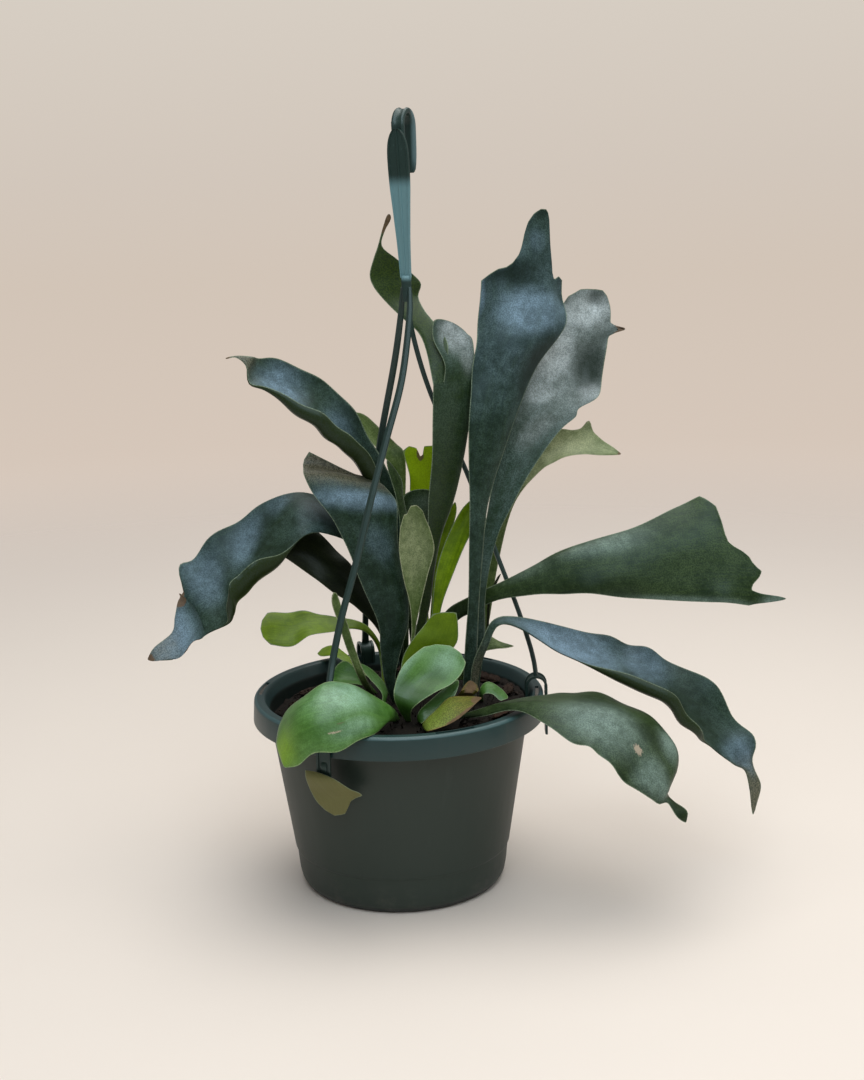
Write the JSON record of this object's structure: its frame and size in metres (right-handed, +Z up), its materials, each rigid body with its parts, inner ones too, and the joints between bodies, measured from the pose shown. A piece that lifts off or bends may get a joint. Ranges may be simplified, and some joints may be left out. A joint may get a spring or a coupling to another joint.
{
  "type": "staghorn fern in a hanging basket",
  "caption": "Staghorn fern with arching, lobed fronds growing in a round plastic hanging basket that a stranded hanger with a hook carries.",
  "frame": {"origin": "centre of the basket's base, on the surface that it stands on", "axes": "+Z up, -Y towards the front, +X to the right"},
  "size_m": [0.4382, 0.2175, 0.537],
  "materials": {
    "basket_plastic": "satin moulded",
    "hanger_plastic": "satin moulded",
    "growing_mix": "coarse, matt",
    "rhizome": "rough, matt",
    "bark": "rough, matt",
    "frond_blue_green": "waxy, fine pale hairs",
    "frond_silvery": "matt, covered in pale hairs",
    "frond_sage": "matt, fine pale hairs",
    "frond_green": "waxy, fine pale hairs",
    "frond_olive": "waxy",
    "frond_lime": "waxy, lets light through",
    "frond_fresh_green": "waxy",
    "shield_yellow_green": "dry, brown at the edge",
    "frond_dead_olive": "dry, wrinkled"
  },
  "bodies": {
    "root": {"basket": "basket_plastic", "growing_mix": "growing_mix", "rhizome": "rhizome", "bark_chip_1": "bark", "bark_chip_2": "bark", "bark_chip_3": "bark", "bark_chip_4": "bark", "bark_chip_5": "bark", "bark_chip_6": "bark", "bark_chip_7": "bark", "bark_chip_8": "bark", "bark_chip_9": "bark", "bark_chip_10": "bark", "hanger_hook": "hanger_plastic", "hanger_strand_front": "hanger_plastic", "hanger_strand_right": "hanger_plastic", "hanger_strand_back": "hanger_plastic", "frond_upright_front": "frond_blue_green", "frond_arching_right": "frond_blue_green", "frond_upper_left": "frond_blue_green", "frond_big_left": "frond_blue_green", "frond_rolled_top": "frond_blue_green", "frond_upright_behind": "frond_silvery", "frond_pale_behind": "frond_sage", "frond_pale_left": "frond_sage", "leaf_spoon_sage": "frond_sage", "leaf_slender_pale": "frond_sage", "leaf_pale_triangle": "frond_sage", "frond_right": "frond_green", "frond_over_rim_right": "frond_green", "frond_forked": "frond_green", "blade_narrow_left": "frond_green", "leaf_round_dark": "frond_green", "leaf_spoon_front": "frond_green", "leaf_narrow_green": "frond_green", "frond_left_behind": "frond_olive", "leaf_olive_flat": "frond_olive", "shield_dark": "frond_olive", "leaf_brown_right": "frond_olive", "shoot_thin": "frond_olive", "frond_backlit": "frond_lime", "leaf_strap_bright": "frond_lime", "leaf_strap_thin": "frond_lime", "leaf_spatula_left": "frond_lime", "leaf_on_back_rim": "frond_lime", "leaf_oval_front_left": "frond_fresh_green", "leaf_folded_green": "frond_fresh_green", "leaf_small_right": "frond_fresh_green", "shield_withered": "shield_yellow_green", "leaf_dead_hanging": "frond_dead_olive"}
  },
  "joints": []
}
